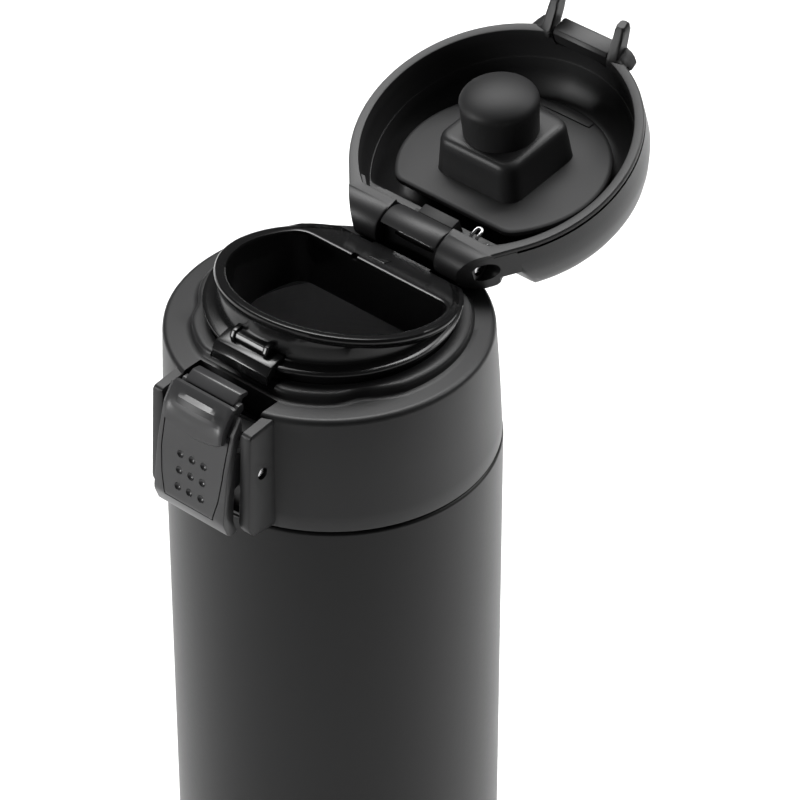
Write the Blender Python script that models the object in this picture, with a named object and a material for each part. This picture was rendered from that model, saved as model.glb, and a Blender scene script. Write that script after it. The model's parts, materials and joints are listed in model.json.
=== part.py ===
"""Vacuum flask with a one-touch flip lid. Metres, +Z up, hinge toward +Y, button toward -Y."""
import bmesh
import bpy
from math import asin, atan, cos, pi, radians, sin, sqrt
from mathutils import Matrix, Vector

MM = 0.001

# Driving dimensions, in millimetres.
SEAM = 172.0            # height of the joint line between body and collar
BODY_R = 34.0           # outside radius of the steel body
NECK_R = 27.6           # outside radius of the threaded neck
MOUTH = SEAM + 18.6     # top of the drinking mouth
THREAD_PITCH = 4.0
COLLAR_H = 27.0         # collar side, seam to top edge
PLATEAU_Z = SEAM + 29.3
PLATEAU_R = 28.0        # the closed lid's hollow drops over it
PLATEAU_Y = -0.5
TOP_Z = SEAM + COLLAR_H
RIM_FRONT_Z = SEAM + 40.9   # spout lip height at the front
RIM_SLOPE = 0.23            # fall of the spout lip per mm toward the hinge
RIM_FRONT_Y = -24.0
SPOUT_Y = 1.7           # centre of the round part of the spout
SPOUT_BACK = 12.6       # straight rear edge of the spout opening
HINGE_Y = 25.8
HINGE_Z = SEAM + 32.1
KNUCKLE_R = 4.7
KNUCKLE_HALF = 7.3      # half length of the centre knuckle
LID_ANGLE = radians(19.1)   # open lid above horizontal
LID_R = 30.4
LID_HOLE = 28.3         # radius of the lid's hollow at the rim
LID_C = 26.3            # hinge axis to centre of lid
LID_TURN = radians(40.7)    # where the lid's round side runs off straight to the hinge
RIM_N = 4.4             # lid rim above the hinge axis plane
RIM_LOW = 3.3
COVER_N = -13.1         # outside face of the lid
HOLLOW_S = 3.4          # straight rear edge of the hollow at the rim
PLATE_TILT = atan(RIM_SLOPE)
CHEEK_IN = 10.2
CHEEK_OUT = 13.0
PIN_Y = -35.0           # button pivot
PIN_Z = SEAM + 15.3
BUTTON_HALF = 9.3
PRESS_GAP = 0.35        # running clearance between neighbours

for old in list(bpy.data.objects):
    bpy.data.objects.remove(old, do_unlink=True)


def material(name, colour, roughness, metallic=0.0):
    mat = bpy.data.materials.new(name)
    mat.use_nodes = True
    shader = mat.node_tree.nodes["Principled BSDF"]
    shader.inputs["Base Color"].default_value = (*colour, 1.0)
    shader.inputs["Roughness"].default_value = roughness
    shader.inputs["Metallic"].default_value = metallic
    return mat


PAINT = material("black_paint", (0.018, 0.018, 0.02), 0.42)
STEEL = material("brushed_steel", (0.62, 0.62, 0.63), 0.28, 1.0)
WIRE = material("steel_wire", (0.72, 0.72, 0.73), 0.2, 1.0)
MATTE = material("black_plastic", (0.022, 0.022, 0.024), 0.5)
GLOSS = material("gloss_plastic", (0.012, 0.012, 0.014), 0.16)
RUBBER = material("black_silicone", (0.03, 0.03, 0.032), 0.62)
GREY = material("grey_silicone", (0.16, 0.16, 0.165), 0.6)


def world_frame():
    return Matrix.Identity(4)


def lid_frame_matrix():
    """Lid coordinates: x along the hinge, y out along the open lid, z out of its hollow."""
    return Matrix.Translation((0, HINGE_Y, HINGE_Z)) @ Matrix.Rotation(LID_ANGLE, 4, "X")


def plate_matrix():
    """Seal plate coordinates: centred on the plate and parallel to the tilted spout lip."""
    s = LID_C
    n = HINGE_Z - (RIM_FRONT_Z - RIM_SLOPE * (HINGE_Y - s - RIM_FRONT_Y)) - PRESS_GAP
    return lid_frame_matrix() @ Matrix.Translation((0, s, n)) @ Matrix.Rotation(-PLATE_TILT, 4, "X")


def new_object(name, verts, faces, mat, frame=None):
    mesh = bpy.data.meshes.new(name)
    frame = frame or world_frame()
    mesh.from_pydata([frame @ Vector(v) * 1.0 for v in verts], [], faces)
    mesh.materials.append(mat)
    obj = bpy.data.objects.new(name, mesh)
    bpy.context.scene.collection.objects.link(obj)
    bm = bmesh.new()
    bm.from_mesh(mesh)
    bmesh.ops.recalc_face_normals(bm, faces=bm.faces)
    bm.to_mesh(mesh)
    bm.free()
    return obj


def loft(name, rings, mat, frame=None):
    """Skin through rings of equal count, capped at both ends."""
    n = len(rings[0])
    verts = [p for ring in rings for p in ring]
    faces = [list(range(n))[::-1]]
    for k in range(len(rings) - 1):
        for i in range(n):
            j = (i + 1) % n
            faces.append([k * n + i, k * n + j, (k + 1) * n + j, (k + 1) * n + i])
    last = (len(rings) - 1) * n
    faces.append([last + i for i in range(n)])
    return new_object(name, verts, faces, mat, frame)


def revolve(name, profile, segs, mat, frame=None, centre=(0.0, 0.0)):
    """Turn a closed (radius, height) outline about Z through centre."""
    verts, rows = [], []
    for r, z in profile:
        if r < 1e-6:
            rows.append([len(verts)] * segs)
            verts.append((centre[0], centre[1], z))
            continue
        rows.append([len(verts) + i for i in range(segs)])
        for i in range(segs):
            a = 2 * pi * i / segs
            verts.append((centre[0] + r * cos(a), centre[1] + r * sin(a), z))
    faces = []
    for k in range(len(rows)):
        low, high = rows[k], rows[(k + 1) % len(rows)]
        for i in range(segs):
            j = (i + 1) % segs
            face = [low[i], low[j], high[j], high[i]]
            face = [v for m, v in enumerate(face) if v not in face[:m]]
            if len(face) > 2:
                faces.append(face)
    return new_object(name, verts, faces, mat, frame)


def box(name, low, high, mat, frame=None):
    rings = []
    for z in (low[2], high[2]):
        rings.append([(low[0], low[1], z), (high[0], low[1], z), (high[0], high[1], z), (low[0], high[1], z)])
    return loft(name, rings, mat, frame)


def side_prism(name, outline, x0, x1, mat, frame=None):
    """Extrude a (y, z) outline along X."""
    return loft(name, [[(x0, y, z) for y, z in outline], [(x1, y, z) for y, z in outline]], mat, frame)


def rod(name, centre, radius, x0, x1, segs, mat, frame=None):
    ring = [(centre[0] + radius * cos(2 * pi * i / segs), centre[1] + radius * sin(2 * pi * i / segs))
            for i in range(segs)]
    return side_prism(name, ring, x0, x1, mat, frame)


def combine(target, tool, operation):
    """Apply one exact boolean and throw the tool away."""
    mod = target.modifiers.new("cut", "BOOLEAN")
    mod.operation = operation
    mod.solver = "EXACT"
    mod.object = tool
    bpy.context.view_layer.update()
    graph = bpy.context.evaluated_depsgraph_get()
    mesh = bpy.data.meshes.new_from_object(target.evaluated_get(graph))
    target.modifiers.clear()
    target.data = mesh
    bpy.data.objects.remove(tool, do_unlink=True)
    return target


def cut(target, *tools):
    for tool in tools:
        combine(target, tool, "DIFFERENCE")
    return target


def join(target, *tools):
    for tool in tools:
        combine(target, tool, "UNION")
    return target


def circle(r, cy, z, segs=64):
    return [(r * cos(2 * pi * i / segs), cy + r * sin(2 * pi * i / segs), z) for i in range(segs)]


def d_outline(r, cy, clip, corner, arc=48, turn=5):
    """Circle of radius r about (0, cy) cut off straight at y = clip, with rounded corners."""
    drop = clip + corner - cy
    x = sqrt((r - corner) ** 2 - drop ** 2)
    a = atan(-drop / x)
    pts = [(r * cos(-a + (pi + 2 * a) * i / arc), cy + r * sin(-a + (pi + 2 * a) * i / arc))
           for i in range(arc + 1)]
    left = [(-x + corner * cos(pi + a + (pi / 2 - a) * i / turn),
             clip + corner + corner * sin(pi + a + (pi / 2 - a) * i / turn)) for i in range(1, turn + 1)]
    right = [(-px, py) for px, py in left[::-1]]
    return pts + left + right[:-1] + [(-left[0][0], left[0][1])]


def lid_outline(r, low, arc=56):
    """Round lid whose sides run off straight to the hinge and stop at y = low."""
    a = LID_TURN
    pts = [(r * cos(-a + (pi + 2 * a) * i / arc), LID_C + r * sin(-a + (pi + 2 * a) * i / arc))
           for i in range(arc + 1)]
    x = (r + (low - LID_C) * sin(a)) / cos(a)
    return pts + [(-x, low), (x, low)]


def swing_room(x0, x1, mat, steps=12):
    """Space swept by the rear of the lid's rim as it shuts, above the collar's top face."""
    floor = HINGE_Z - TOP_Z + 0.05
    rings = []
    for k in range(steps + 1):
        x = x0 + (x1 - x0) * k / steps
        edge = max(HOLLOW_S, LID_C - sqrt(LID_HOLE ** 2 - x * x))
        reach = sqrt(edge ** 2 + RIM_N ** 2) + 0.4
        dip = asin(floor / reach)
        rings.append([(x, HINGE_Y + reach * cos(-dip + (pi + 2 * dip) * i / 24),
                       HINGE_Z + reach * sin(-dip + (pi + 2 * dip) * i / 24)) for i in range(25)])
    return loft("swing", rings, mat)


def flat_ring(outline, z):
    return [(x, y, z) for x, y in outline]


def flip_y(outline, about=0.0):
    return [(x, 2 * about - y) for x, y in outline]


def tube(name, path, radius, sides, mat, frame=None):
    """Round wire along a path of points."""
    pts = [Vector(p) for p in path]
    rings = []
    up = Vector((0.13, 0.31, 0.94)).normalized()
    for i, p in enumerate(pts):
        t = (pts[min(i + 1, len(pts) - 1)] - pts[max(i - 1, 0)]).normalized()
        side = t.cross(up)
        if side.length < 0.05:
            side = t.cross(Vector((1, 0, 0)))
        side.normalize()
        up = side.cross(t).normalized()
        rings.append([tuple(p + radius * (cos(2 * pi * k / sides) * side + sin(2 * pi * k / sides) * up))
                      for k in range(sides)])
    return loft(name, rings, mat, frame)


def thread(name, r_in, r_out, z0, turns, phase, mat, steps=36):
    """Helical ridge; its foot sinks into the wall it is joined to."""
    verts, faces = [], []
    foot, tip = 0.95, 0.5
    count = int(turns * steps)
    for i in range(count + 1):
        a = phase + 2 * pi * i / steps
        z = z0 + THREAD_PITCH * i / steps
        fade = min(1.0, i / 3.0, (count - i) / 3.0)
        tip_r = r_in + (r_out - r_in) * max(fade, 0.12)
        for r, dz in ((r_in, -foot), (tip_r, -tip), (tip_r, tip), (r_in, foot)):
            verts.append((r * cos(a), r * sin(a), z + dz))
    faces.append([3, 2, 1, 0])
    for i in range(count):
        for k in range(4):
            m = (k + 1) % 4
            faces.append([4 * i + k, 4 * i + m, 4 * i + 4 + m, 4 * i + 4 + k])
    faces.append([4 * count + k for k in range(4)])
    return new_object(name, verts, faces, mat)


def finish(obj, origin=(0.0, 0.0, 0.0), angle=35.0):
    """Weld, clean, scale to metres and put the object origin on its axis."""
    bm = bmesh.new()
    bm.from_mesh(obj.data)
    bmesh.ops.remove_doubles(bm, verts=bm.verts, dist=0.002)
    bmesh.ops.dissolve_degenerate(bm, edges=bm.edges, dist=0.002)
    bmesh.ops.recalc_face_normals(bm, faces=bm.faces)
    for v in bm.verts:
        v.co = (v.co - Vector(origin)) * MM
    bm.to_mesh(obj.data)
    bm.free()
    obj.location = Vector(origin) * MM
    obj.data.shade_smooth()
    obj.data.set_sharp_from_angle(angle=radians(angle))
    return obj


LID_ORIGIN = (0.0, HINGE_Y, HINGE_Z)
PIVOT = (0.0, PIN_Y, PIN_Z)


# The bottle: double steel wall, base cap and rubber foot.

def outer_shell():
    z = SEAM
    profile = [(32.2, 4.4), (33.2, 4.4), (BODY_R, 5.4), (BODY_R, z - 1.1), (33.5, z - 0.5),
               (28.2, z - 0.5), (NECK_R, z), (NECK_R, z + 16.6), (27.1, z + 17.1), (26.7, z + 17.1),
               (26.7, z - 1.6), (27.2, z - 2.0), (33.0, z - 2.6), (33.0, 6.2), (32.2, 5.6)]
    shell = revolve("outer_shell", profile, 64, PAINT)
    ridge = thread("ridge", NECK_R - 0.3, 28.7, z + 5.0, 1.5, 0.4, PAINT)
    return finish(join(shell, ridge))


def inner_liner():
    z = SEAM
    profile = [(0, 9.0), (24, 9.0), (31.8, 14), (31.8, z - 8), (26.3, z - 3), (26.3, z + 17.4),
               (27.4, z + 17.6), (27.4, MOUTH), (25.6, MOUTH), (25.4, z + 18.2), (25.4, z - 3.4),
               (31.0, z - 8.6), (31.0, 14.4), (23.8, 9.9), (0, 9.9)]
    return finish(revolve("inner_liner", profile, 64, STEEL))


def base_cap():
    profile = [(0, 3.2), (30.6, 3.2), (30.6, 0.9), (32.9, 0.9), (33.6, 1.8), (33.6, 4.0), (31.7, 4.1),
               (31.7, 7.6), (30.8, 7.6), (30.8, 4.4), (0, 4.4)]
    return finish(revolve("base_cap", profile, 64, PAINT))


def base_pad():
    profile = [(0, 0), (29.4, 0), (30.0, 0.6), (30.0, 2.8), (0, 2.8)]
    return finish(revolve("base_pad", profile, 64, RUBBER))


def mouth_gasket():
    z = MOUTH + 0.3
    profile = [(23.2, z), (27.2, z), (27.2, z + 1.2), (23.2, z + 1.2)]
    return finish(revolve("mouth_gasket", profile, 64, GREY))


# The collar unit.

def plateau_outline(grow=0.0):
    """Raised platform: round at the sides and back, drawn in with a wave toward the button."""
    pts = []
    for deg in range(-18, 199, 6):
        a = radians(deg)
        pts.append(((PLATEAU_R + grow) * cos(a), PLATEAU_Y + (PLATEAU_R + grow) * sin(a)))
    wave = [(-25.9, -10.5), (-24.2, -13.0), (-22.2, -15.1), (-21.0, -17.0), (-19.8, -19.5), (-18.2, -21.4),
            (-15.5, -23.6), (-12.5, -25.4), (-10.0, -26.4)]
    pull = 1.0 + grow / PLATEAU_R
    ends = [(x * pull, y * pull) for x, y in wave]
    return pts + ends + [(-x, y) for x, y in ends[::-1]]


def collar():
    z = SEAM
    rings = [circle(33.6, -0.3, z), circle(34.0, -0.35, z + 0.5), circle(33.6, -0.7, z + 13),
             circle(33.0, -1.1, z + 26.0), circle(32.5, -1.2, z + 26.8), circle(31.9, -1.2, z + COLLAR_H)]
    body = loft("collar", rings, MATTE)
    top = plateau_outline()
    small = plateau_outline(-0.9)
    raised = loft("raised", [flat_ring(top, TOP_Z - 1), flat_ring(top, PLATEAU_Z - 0.9),
                             flat_ring(small, PLATEAU_Z)], MATTE)
    join(body, raised)
    cheek = [(-30.0, z + 0.6), (-37.6, z + 1.0), (-39.0, z + 2.6), (-39.2, z + 5.0), (-38.1, z + 25.2),
             (-37.4, z + 25.7), (-34.0, z + 26.0), (-30.0, z + 26.4)]
    join(body, side_prism("cheek", cheek, CHEEK_IN, CHEEK_OUT, MATTE))
    join(body, side_prism("cheek", cheek, -CHEEK_OUT, -CHEEK_IN, MATTE))
    cut(body, swing_room(KNUCKLE_HALF, 24.0, MATTE))
    cut(body, swing_room(-24.0, -KNUCKLE_HALF, MATTE))
    join(body, rod("knuckle", (HINGE_Y, HINGE_Z), KNUCKLE_R, -KNUCKLE_HALF, KNUCKLE_HALF, 32, MATTE))
    foot = [(HINGE_Y - 4.6, TOP_Z - 2), (HINGE_Y + 4.6, TOP_Z - 2), (HINGE_Y + 4.6, HINGE_Z), (HINGE_Y - 4.6, HINGE_Z)]
    join(body, side_prism("foot", foot, -KNUCKLE_HALF, KNUCKLE_HALF, MATTE))
    cut(body, rod("bore", (HINGE_Y, HINGE_Z), 1.45, -KNUCKLE_HALF - 3, KNUCKLE_HALF + 3, 20, MATTE))
    cut(body, revolve("hollow", [(0, z - 1), (29.4, z - 1), (29.4, z + 20.3), (0, z + 20.3)], 64, MATTE))
    cut(body, revolve("mouth", [(0, z + 19), (24.9, z + 19), (24.9, z + 35), (0, z + 35)], 64, MATTE))
    front = [(-45, z + 0.9), (-32.4, z + 0.9), (-32.4, z + 20.2), (-27.4, z + 20.2), (-27.4, z + 40), (-45, z + 40)]
    cut(body, side_prism("pocket", front, -CHEEK_IN, CHEEK_IN, MATTE))
    cut(body, box("tab_room", (-8.4, -30, z + 28.2), (8.4, -22, z + 40), MATTE))
    cut(body, rod("bore", (PIN_Y, PIN_Z), 1.3, -20, 20, 16, MATTE))
    join(body, thread("ridge", 29.7, 28.1, z + 7.0, 1.5, 0.4, MATTE))
    return finish(body)


def spout_wall(r, back, corner, z0, z1):
    """Upright D prism, straight side toward the hinge."""
    outline = flip_y(d_outline(r, -SPOUT_Y, -back, corner))
    return [flat_ring(outline[::-1], z0), flat_ring(outline[::-1], z1)]


def spout():
    z = SEAM
    body = revolve("spout", [(0, z + 20.6), (24.5, z + 20.6), (24.5, z + 31.4), (25.7, z + 31.4),
                             (25.7, z + 32.1), (25.0, z + 32.6), (0, z + 32.6)], 64, GLOSS)
    rings = [circle(23.2, SPOUT_Y - 1.1, z + 32), circle(23.2, SPOUT_Y - 0.6, z + 36),
             circle(24.0, SPOUT_Y, z + 38), circle(24.0, SPOUT_Y, z + 46)]
    join(body, loft("wall", rings, GLOSS))
    tab = [(-24.0, z + 31.4), (-26.6, z + 30.2), (-27.2, z + 28.6), (-26.4, z + 28.6), (-25.8, z + 29.6),
           (-22.0, z + 31.4), (-22.0, z + 34.6), (-23.0, z + 34.6)]
    join(body, side_prism("tab", tab, -8.0, 8.0, GLOSS))
    far = RIM_FRONT_Z - RIM_SLOPE * 64
    near = RIM_FRONT_Z + RIM_SLOPE * 16
    top = [(RIM_FRONT_Y - 16, near), (RIM_FRONT_Y + 64, far), (RIM_FRONT_Y + 64, z + 60), (RIM_FRONT_Y - 16, z + 60)]
    cut(body, side_prism("top", top, -40, 40, GLOSS))
    cut(body, loft("opening", spout_wall(20.6, SPOUT_BACK, 4.0, z + 15, z + 60), GLOSS))
    rear = crescent(22.9, 14.4)
    cut(body, loft("rear", [flat_ring(rear, z + 19), flat_ring(rear, z + 28.6)], GLOSS))
    well = KNUCKLE_R + PRESS_GAP
    cut(body, rod("well", (HINGE_Y, HINGE_Z), well, -30, 30, 32, GLOSS))
    cut(body, swing_room(KNUCKLE_HALF + 0.1, 24.0, GLOSS))
    cut(body, swing_room(-24.0, -KNUCKLE_HALF - 0.1, GLOSS))
    return finish(body)


def crescent(r, y0, arc=20):
    """Segment of a circle beyond the line y = y0."""
    a = atan(y0 / sqrt(r * r - y0 * y0))
    return [(r * cos(a + (pi - 2 * a) * i / arc), r * sin(a + (pi - 2 * a) * i / arc)) for i in range(arc + 1)]


def hinge_pin():
    return finish(rod("hinge_pin", (HINGE_Y, HINGE_Z), 1.1, -15.6, 15.6, 16, WIRE), LID_ORIGIN)


def hinge_spring():
    """Torsion coil round the pin in the right-hand knuckle, its leg pressing on the lid."""
    path = []
    turns, steps = 4, 14
    for i in range(turns * steps + 1):
        a = -0.5 * pi + 2 * pi * i / steps
        path.append((8.2 + 1.05 * i / steps, 2.15 * cos(a), 2.15 * sin(a)))
    x = path[-1][0]
    path += [(x + 0.1, 2.6, -2.15), (x + 0.1, 4.6, -1.9), (x + 0.1, 6.6, -1.5)]
    return finish(tube("hinge_spring", path, 0.4, 8, WIRE, lid_frame_matrix()), LID_ORIGIN)


def latch_pin():
    return finish(rod("latch_pin", (PIN_Y, PIN_Z), 1.0, -12.7, 12.7, 16, WIRE), PIVOT)


def latch_spring():
    """Torsion coil round the button pin, with a leg resting on the collar."""
    path = []
    turns, steps = 4, 12
    for i in range(turns * steps + 1):
        a = 0.5 * pi + 2 * pi * i / steps
        path.append((-3.0 + 1.2 * i / steps, PIN_Y + 1.75 * cos(a), PIN_Z + 1.75 * sin(a)))
    return finish(tube("latch_spring", path, 0.35, 8, WIRE), PIVOT)


# The button.

def button_lever():
    z = SEAM
    skin = [(-38.6, z + 1.2), (-40.6, z + 1.4), (-42.0, z + 3.2), (-42.3, z + 5.6), (-41.6, z + 11.0),
            (-40.7, z + 17.0), (-39.7, z + 22.0), (-38.9, z + 24.4), (-36.6, z + 27.8), (-35.2, z + 28.9),
            (-33.9, z + 28.9), (-33.9, z + 27.4), (-35.2, z + 26.6), (-36.8, z + 24.0), (-38.2, z + 20.0),
            (-38.8, z + 14.0), (-39.4, z + 8.0), (-39.6, z + 4.2)]
    lever = side_prism("button_lever", skin, -BUTTON_HALF, BUTTON_HALF, GLOSS)
    for s in (-1, 1):
        low, high = sorted((s * 7.3, s * 12))
        cut(lever, box("ear_room", (low, -36.6, z + 20), (high, -30, z + 35), GLOSS))
        lug = [(-39.6, PIN_Z - 4), (PIN_Y + 1.3, PIN_Z - 1.9), (PIN_Y + 2.1, PIN_Z), (PIN_Y + 1.3, PIN_Z + 1.9),
               (-38.4, PIN_Z + 5)]
        low, high = sorted((s * 6.0, s * 9.0))
        join(lever, side_prism("lug", lug, low, high, GLOSS))
    hook = [(-35.6, z + 27.8), (-33.4, z + 28.4), (-32.9, z + 29.2), (-31.1, z + 29.2), (-31.7, z + 30.1),
            (-33.6, z + 30.4), (-35.9, z + 28.9)]
    join(lever, side_prism("hook", hook, -6.4, 6.4, GLOSS))
    cut(lever, rod("bore", (PIN_Y, PIN_Z), 1.25, -20, 20, 16, GLOSS))
    return finish(lever, PIVOT)


def lock_slider():
    z = SEAM
    low, high = Vector((-39.35, 24.3)), Vector((-36.95, 27.85))
    along = (high - low).normalized()
    out = Vector((-along[1], along[0]))
    a, b = low + out * 0.35, high + out * 0.35
    pts = [a, a + out * 0.9, a + along * 1.2 + out * 1.4, b + along * 0.6 + out * 1.4, b + along * 1.4 + out * 0.7,
           b + along * 1.2]
    outline = [(p[0], z + p[1]) for p in pts]
    slider = side_prism("lock_slider", outline, -7.6, 7.6, MATTE)
    for k in (1.9, 3.7):
        c = a + along * k + out * 1.3
        join(slider, rod("ridge", (c[0], z + c[1]), 0.6, -6.4, 6.4, 10, MATTE))
    return finish(slider, PIVOT)


# The lid, in its own coordinates.

def clipped(r, clip, corner, n):
    return flat_ring(d_outline(r, LID_C, clip, corner), n)


def lid_ring(r, low, n):
    return flat_ring(lid_outline(r, low), n)


def end_room(side, f):
    """What lies outside the straight side of the lid, to trim a knuckle's end."""
    def edge(s):
        return (LID_R + (s - LID_C) * sin(LID_TURN)) / cos(LID_TURN)
    plan = [(edge(-7.0), -7.0), (30.0, -7.0), (30.0, 7.0), (edge(7.0), 7.0)]
    return loft("end", [flat_ring([(side * x, y) for x, y in plan], n) for n in (-7.0, 7.0)], MATTE, f)


def lid_frame():
    f = lid_frame_matrix()
    body = loft("lid_frame", [lid_ring(LID_R, 0.0, RIM_LOW), lid_ring(LID_R, 0.0, RIM_N - 0.3),
                              lid_ring(LID_R - 0.4, 0.3, RIM_N)], MATTE, f)
    cup = [clipped(28.8, 7.3, 2.0, RIM_LOW + 0.4), clipped(28.7, 7.3, 2.0, -3.1), clipped(27.9, 8.0, 2.0, -5.9),
           clipped(26.4, 9.2, 2.0, -8.5), clipped(23.8, 10.8, 2.0, -10.9), clipped(21.6, 12.6, 2.0, -11.6)]
    join(body, loft("cup", cup, MATTE, f))
    deep = [clipped(21.9, 13.2, 2.0, -10.7), clipped(23.3, 11.8, 2.0, -10.1), clipped(25.7, 10.0, 2.0, -8.0),
            clipped(27.1, 9.0, 2.0, -5.6), clipped(27.9, 8.3, 2.0, -3.0), clipped(27.9, 8.3, 2.0, -0.5)]
    wide = [clipped(27.9, HOLLOW_S, 1.5, -0.7), clipped(28.1, HOLLOW_S, 1.5, RIM_LOW),
            clipped(LID_HOLE, HOLLOW_S, 1.5, RIM_N - 0.4), clipped(LID_HOLE, HOLLOW_S, 1.5, 12)]
    cut(body, loft("deep", deep, MATTE, f), loft("wide", wide, MATTE, f))
    join(body, box("shelf", (-16.6, 3.0, -1.7), (16.6, 7.9, -0.7), MATTE, f))
    for s in (-1, 1):
        low, high = sorted((s * (KNUCKLE_HALF + 0.3), s * 19.0))
        join(body, rod("knuckle", (0, 0), KNUCKLE_R, low, high, 32, MATTE, f))
        wing = [(15.0, 0.0), (19.0, 0.0), (23.3, 5.0), (18.0, 5.0), (16.2, 3.8)]
        join(body, loft("wing", [flat_ring([(s * x, y) for x, y in wing], n) for n in (-2.7, RIM_LOW + 0.2)],
                        MATTE, f))
        cut(body, end_room(s, f))
    cut(body, box("notch", (-KNUCKLE_HALF - 0.3, -9, -20), (KNUCKLE_HALF + 0.3, 5.3, 20), MATTE, f))
    ear = [(53.6, RIM_LOW), (57.6, RIM_LOW), (60.8, 7.6), (60.9, 8.9), (60.0, 9.8), (58.6, 9.8), (57.6, 9.0),
           (53.6, 4.2)]
    for s in (-1, 1):
        low, high = sorted((s * 7.6, s * 9.9))
        join(body, side_prism("ear", ear, low, high, MATTE, f))
    cut(body, box("catch_room", (-7.3, 53.6, 1.3), (7.3, 70, 20), MATTE, f))
    cut(body, rod("bore", (0, 0), 1.45, -15.9, 15.9, 20, MATTE, f))
    for s in (-1, 1):
        low, high = sorted((s * 15.8, s * 26.0))
        cut(body, rod("recess", (0, 0), 2.3, low, high, 24, MATTE, f))
    cut(body, rod("coil_room", (0, 0), 3.0, KNUCKLE_HALF - 1, 13.6, 24, MATTE, f))
    cut(body, box("leg_room", (11.6, 0, -3.0), (13.3, 7.3, 0.2), MATTE, f))
    return finish(body, LID_ORIGIN)


def lid_cover():
    f = lid_frame_matrix()
    skin = [lid_ring(LID_R, 5.3, RIM_LOW - 0.3), lid_ring(LID_R - 0.1, 5.3, -3.0), lid_ring(29.6, 6.8, -6.4),
            lid_ring(28.0, 9.2, -9.4), lid_ring(25.3, 12.2, -11.9), lid_ring(22.6, 15.2, -12.8),
            lid_ring(20.0, 18.0, COVER_N)]
    body = loft("lid_cover", skin, MATTE, f)
    hollow = [clipped(21.9, 12.0, 2.0, -12.0), clipped(24.3, 10.4, 2.0, -11.3), clipped(26.9, 8.8, 2.0, -8.8),
              clipped(28.4, 7.6, 2.0, -6.1), clipped(29.2, 6.9, 2.0, -3.2), clipped(29.2, 6.9, 2.0, 4)]
    cut(body, loft("hollow", hollow, MATTE, f))
    room = [clipped(28.5, HOLLOW_S - 0.3, 1.5, n) for n in (-2.1, 6.0)]
    cut(body, loft("shelf_room", room, MATTE, f))
    cut(body, box("catch_room", (-7.3, 53.6, 1.3), (7.3, 70, 20), MATTE, f))
    return finish(body, LID_ORIGIN)


def catch_outline():
    """Bar between the ears that the button's hook reaches over."""
    return [(53.9, 1.6), (55.5, 1.6), (56.3, 3.1), (58.4, 3.1), (58.4, 4.5), (57.9, 5.0), (54.6, 5.0), (53.9, 4.3)]


def seal_plate():
    f = plate_matrix()
    top = d_outline(22.2, 0.0, -16.6, 4.0)
    low = d_outline(21.4, 0.0, -15.8, 4.0)
    body = loft("seal_plate", [flat_ring(low, -1.6), flat_ring(top, -1.2), flat_ring(top, -0.4),
                               flat_ring(low, 0.0)], RUBBER, f)
    return finish(body, LID_ORIGIN)


def seal_carrier():
    """Boss between the lid floor and the seal plate."""
    f = lid_frame_matrix()
    n = HINGE_Z - (RIM_FRONT_Z - RIM_SLOPE * (HINGE_Y - LID_C - RIM_FRONT_Y)) - PRESS_GAP
    rings = []
    outline = circle(9.0, LID_C, 0, 40)
    rings.append([(x, y, -10.4) for x, y, _ in outline])
    rings.append([(x, y, n - 2.0 - RIM_SLOPE * (y - LID_C)) for x, y, _ in outline])
    return finish(loft("seal_carrier", rings, MATTE, f), LID_ORIGIN)


def rounded_square(half, corner, cy, z, turn=5):
    pts = []
    for k, (sx, sy) in enumerate(((1, 1), (-1, 1), (-1, -1), (1, -1))):
        for i in range(turn + 1):
            a = pi / 2 * (k + i / turn)
            pts.append((sx * (half - corner) + corner * cos(a), cy + sy * (half - corner) + corner * sin(a), z))
    return pts


def seal_pedestal():
    rings = [rounded_square(10.6, 3.2, 0.6, 0.3), rounded_square(10.3, 3.2, 0.6, 1.4),
             rounded_square(9.4, 3.0, 0.6, 7.6), rounded_square(8.6, 2.6, 0.6, 8.6)]
    return finish(loft("seal_pedestal", rings, MATTE, plate_matrix()), LID_ORIGIN)


def seal_knob():
    profile = [(0, 8.9), (7.4, 8.9), (7.6, 9.4), (7.6, 14.6), (8.2, 15.2), (8.2, 16.0), (7.4, 17.2), (5.6, 18.4),
               (3.2, 19.2), (0, 19.5)]
    return finish(revolve("seal_knob", profile, 40, RUBBER, plate_matrix(), (0.0, 0.0)), LID_ORIGIN)


def lid_bumper():
    f = lid_frame_matrix()
    pad = [(4.9, -0.4), (7.7, -0.4), (7.7, 0.1), (7.3, 0.45), (5.3, 0.45), (4.9, 0.1)]
    return finish(side_prism("lid_bumper", pad, -4.5, 4.5, RUBBER, f), LID_ORIGIN)


def lid_catch():
    f = lid_frame_matrix()
    return finish(side_prism("lid_catch", catch_outline(), -7.0, 7.0, MATTE, f), LID_ORIGIN)


outer_shell()
inner_liner()
base_cap()
base_pad()
mouth_gasket()
collar()
spout()
hinge_pin()
hinge_spring()
latch_pin()
latch_spring()
button_lever()
lock_slider()
lid_frame()
lid_cover()
lid_catch()
seal_carrier()
seal_plate()
seal_pedestal()
seal_knob()
lid_bumper()
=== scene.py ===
# %% [markdown]
# A slim steel flask, painted black, with its flip lid thrown open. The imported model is
# loaded first and never moved: it says where every part sits and how it moves. Each
# visible part is then modelled again, finer, in the same place.

# %% Load the frame
import json
from math import acos, asin, atan, atan2, cos, degrees, pi, radians, sin, sqrt, tan

import bpy
from mathutils import Matrix, Vector

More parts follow.
